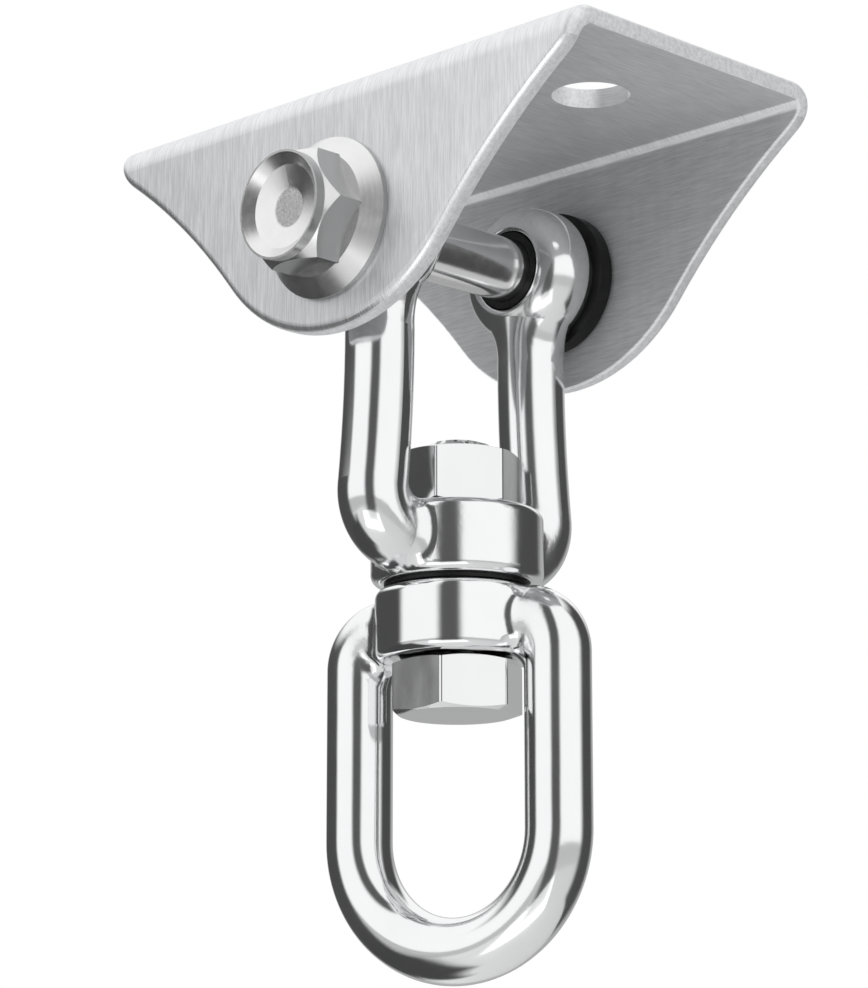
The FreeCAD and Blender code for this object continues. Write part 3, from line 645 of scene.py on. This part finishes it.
@dataclass
class SwingingJaw:
    """Cast jaw with its bushes and the swivel bolt that it carries."""

    casting: PolishedCasting = field(
        default_factory=lambda: PolishedCasting("jaw_finish", skin_low=-76 * MM, skin_high=-58 * MM)
    )
    hexes: PolishedCasting = field(default_factory=lambda: PolishedCasting("hex_finish", tone=0.90))
    plastic: BlackNylon = field(default_factory=BlackNylon)
    thread: Thread = Thread("swivel_thread", 5.05 * MM, 5.92 * MM, 1.75 * MM)
    end_bevel: float = 0.7 * MM

    def build(self) -> None:
        """Dress the pieces that swing, and thread the swivel bolt's end."""
        dress("jaw", self.casting.material())
        hexes = self.hexes.material()
        dress("swivel_bolt", hexes)
        dress("swivel_nut", hexes)
        plastic = self.plastic.material()
        for node in ("bush_near", "bush_far", "thrust_washer"):
            dress(node, plastic)
        start = Vector((0.0, 0.0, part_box("swivel_nut")[1][2] - self.thread.pitch / 2))
        end = Vector((0.0, 0.0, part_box("swivel_bolt")[1][2] - self.end_bevel))
        self.thread.build(start, end, Body.JAW, Slot.CASTING, hexes)


@dataclass
class TurningRing:
    """Cast oblong ring below the swivel."""

    casting: PolishedCasting = field(
        default_factory=lambda: PolishedCasting("ring_finish", skin_low=-90 * MM, skin_high=-74 * MM)
    )

    def build(self) -> None:
        """Dress the ring."""
        dress("ring", self.casting.material())


@dataclass(frozen=True)
class Card:
    """Soft-edged patch of a sphere round the object that only reflections see.

    The sides are angles in degrees: round from the camera's direction, right positive, and above level.
    """

    name: str
    left: float
    right: float
    low: float
    high: float
    reach: float
    tone: float
    soft: float = 12.0

    def cover(self, turn: float, rise: float) -> float:
        """Give how dense the card is at one place.

        Args:
            turn: degrees round from the camera's direction.
            rise: degrees above level.

        Returns:
            0 at the rim to 1 inside.
        """
        gap = min(turn - self.left, self.right - turn, rise - self.low, self.high - rise)
        share = min(max(gap / self.soft, 0.0), 1.0)
        return share * share * (3.0 - 2.0 * share)


@dataclass(frozen=True)
class SoftBox:
    """Rectangular lamp that faces the object.

    The angles are in degrees, as for a card. Polished metal shows the box only where mirrored is True.
    """

    name: str
    turn: float
    rise: float
    reach: float
    width: float
    height: float
    level: float
    mirrored: bool = False


@dataclass
class Studio:
    """Camera, lamps, floor and reflection cards."""

    azimuth: float = 44.659
    pitch: float = 12.734
    focal_px: float = 3590.0
    shift: tuple[float, float] = (0.0026, 0.0015)
    station: Point = (0.37611, -0.38624, -0.18270)
    clip: tuple[float, float] = (0.01, 100.0)
    centre: Point = (0.0, 0.0, -0.068)
    floor_z: float = -0.55
    floor_half: float = 6.0
    floor_cells: Point = (30.0, 30.0, 30.0)
    floor_tones: tuple[float, float] = (0.86, 0.90)
    floor_rough: float = 0.9
    world_level: float = 0.55
    boxes: tuple[SoftBox, ...] = (
        SoftBox("soft_right", 36.0, 20.0, 1.1, 1.7, 1.7, 0.2),
        SoftBox("soft_left", -66.0, 20.0, 1.1, 1.4, 1.7, 0.5),
        SoftBox("soft_top", 0.0, 85.0, 1.1, 1.4, 1.4, 0.4),
        SoftBox("soft_back", -135.0, -36.0, 0.62, 0.7, 0.7, 1.2),
        SoftBox("soft_low", -16.0, -42.0, 0.62, 0.55, 0.40, 0.7, mirrored=True),
    )
    card_steps: tuple[int, int] = (48, 32)
    cards: tuple[Card, ...] = (
        Card("card_gap", -32.0, 10.0, -42.0, 70.0, 0.80, 0.10),
        Card("card_right", 70.0, 150.0, -60.0, 65.0, 0.78, 0.07, 20.0),
        Card("card_left", -165.0, -79.0, -60.0, 30.0, 0.76, 0.07),
        Card("card_back", 125.0, 225.0, -60.0, 30.0, 0.84, 0.42, 20.0),
        Card("card_low", -160.0, -62.0, -78.0, -18.0, 0.5, 0.06, 14.0),
    )

    def direction(self, turn: float, rise: float) -> Vector:
        """Give a direction seen from the object.

        Args:
            turn: degrees round from the camera's direction, right positive.
            rise: degrees above level.

        Returns:
            The unit vector.
        """
        angle, height = math.radians(self.azimuth + turn), math.radians(rise)
        level = math.cos(height)
        return Vector((math.sin(angle) * level, -math.cos(angle) * level, math.sin(height)))

    def camera(self) -> None:
        """Set the camera where the photograph was taken."""
        lens = bpy.data.cameras.new("camera")
        lens.sensor_width = SENSOR_MM
        lens.lens = self.focal_px * SENSOR_MM / IMAGE_LONG_SIDE
        lens.shift_x, lens.shift_y = self.shift
        lens.clip_start, lens.clip_end = self.clip
        made = bpy.data.objects.new("camera", lens)
        made.location = self.station
        made.rotation_euler = (math.radians(90.0 + self.pitch), 0.0, math.radians(self.azimuth))
        bpy.context.scene.collection.objects.link(made)
        bpy.context.scene.camera = made

    def lamp(self, box: SoftBox) -> None:
        """Add one soft box.

        Args:
            box: where it stands, its size and its radiance.
        """
        light = bpy.data.lights.new(box.name, "AREA")
        light.shape = "RECTANGLE"
        light.size, light.size_y = box.width, box.height
        light.energy = box.level * math.pi * box.width * box.height
        made = bpy.data.objects.new(box.name, light)
        way = self.direction(box.turn, box.rise)
        made.location = Vector(self.centre) + way * box.reach
        made.rotation_euler = way.to_track_quat("Z", "Y").to_euler()
        made.visible_camera, made.visible_glossy = False, box.mirrored
        bpy.context.scene.collection.objects.link(made)

    def patch(self, card: Card) -> None:
        """Add one reflection card.

        Args:
            card: where it stands and how dark it is.
        """
        steps_round, steps_up = self.card_steps
        points, covers = [], []
        for j in range(steps_up + 1):
            rise = card.low + (card.high - card.low) * j / steps_up
            for i in range(steps_round + 1):
                turn = card.left + (card.right - card.left) * i / steps_round
                points.append(Vector(self.centre) + self.direction(turn, rise) * card.reach)
                covers.append(card.cover(turn, rise))
        row = steps_round + 1
        faces = [
            (j * row + i, j * row + i + 1, (j + 1) * row + i + 1, (j + 1) * row + i)
            for j in range(steps_up)
            for i in range(steps_round)
        ]
        mesh = bpy.data.meshes.new(card.name)
        mesh.from_pydata(points, [], faces)
        mesh.attributes.new("cover", "FLOAT", "POINT").data.foreach_set("value", covers)
        made = bpy.data.objects.new(card.name, mesh)
        g = Graph(card.name)
        cover = g.node("ShaderNodeAttribute", {}, attribute_name="cover").outputs["Fac"]
        g.surface(Base_Color=(0.0, 0.0, 0.0, 1.0), Roughness=1.0, Specular_IOR_Level=0.0, Alpha=cover)
        g.surface(Emission_Color=(card.tone, card.tone, card.tone, 1.0), Emission_Strength=1.0)
        mesh.materials.append(g.material)
        made.visible_camera = made.visible_diffuse = made.visible_shadow = False
        bpy.context.scene.collection.objects.link(made)

    def floor(self) -> None:
        """Lay the pale floor."""
        half, z = self.floor_half, self.floor_z
        mesh = bpy.data.meshes.new("floor")
        corners = [(-half, -half, z), (half, -half, z), (half, half, z), (-half, half, z)]
        mesh.from_pydata(corners, [], [(0, 1, 2, 3)])
        made = bpy.data.objects.new("floor", mesh)
        g = Graph("pale_floor")
        point, _ = g.place()
        speck = g.span(g.grain(point, self.floor_cells, 3.0, 0.6), 0.2, 0.8, *self.floor_tones)
        g.surface(Base_Color=g.grey(speck), Roughness=self.floor_rough)
        mesh.materials.append(g.material)
        bpy.context.scene.collection.objects.link(made)

    def world(self) -> None:
        """Set a white background that reflections see, and an even soft light."""
        world = bpy.data.worlds.new("studio")
        world.use_nodes = True
        tree = world.node_tree
        back = tree.nodes["Background"]
        back.inputs["Color"].default_value = (1.0, 1.0, 1.0, 1.0)
        path = tree.nodes.new("ShaderNodeLightPath")
        seen = path.outputs["Is Camera Ray"]
        for name in ("Is Glossy Ray", "Is Transmission Ray"):
            both = tree.nodes.new("ShaderNodeMath")
            both.operation = "MAXIMUM"
            tree.links.new(seen, both.inputs[0])
            tree.links.new(path.outputs[name], both.inputs[1])
            seen = both.outputs[0]
        level = tree.nodes.new("ShaderNodeMapRange")
        level.inputs["To Min"].default_value = self.world_level
        level.inputs["To Max"].default_value = 1.0
        tree.links.new(seen, level.inputs["Value"])
        tree.links.new(level.outputs["Result"], back.inputs["Strength"])
        bpy.context.scene.world = world

    def build(self) -> None:
        """Set up everything round the object."""
        bpy.context.scene.view_settings.view_transform = "Standard"
        self.camera()
        self.world()
        self.floor()
        for box in self.boxes:
            self.lamp(box)
        for card in self.cards:
            self.patch(card)


def main() -> None:
    """Build and dress the hook, then its studio."""
    logging.basicConfig(level=logging.INFO, format="%(name)s: %(message)s")
    for assembly in (Mounting(), SwingingJaw(), TurningRing()):
        assembly.build()
    Studio().build()


if __name__ == "__main__":
    main()
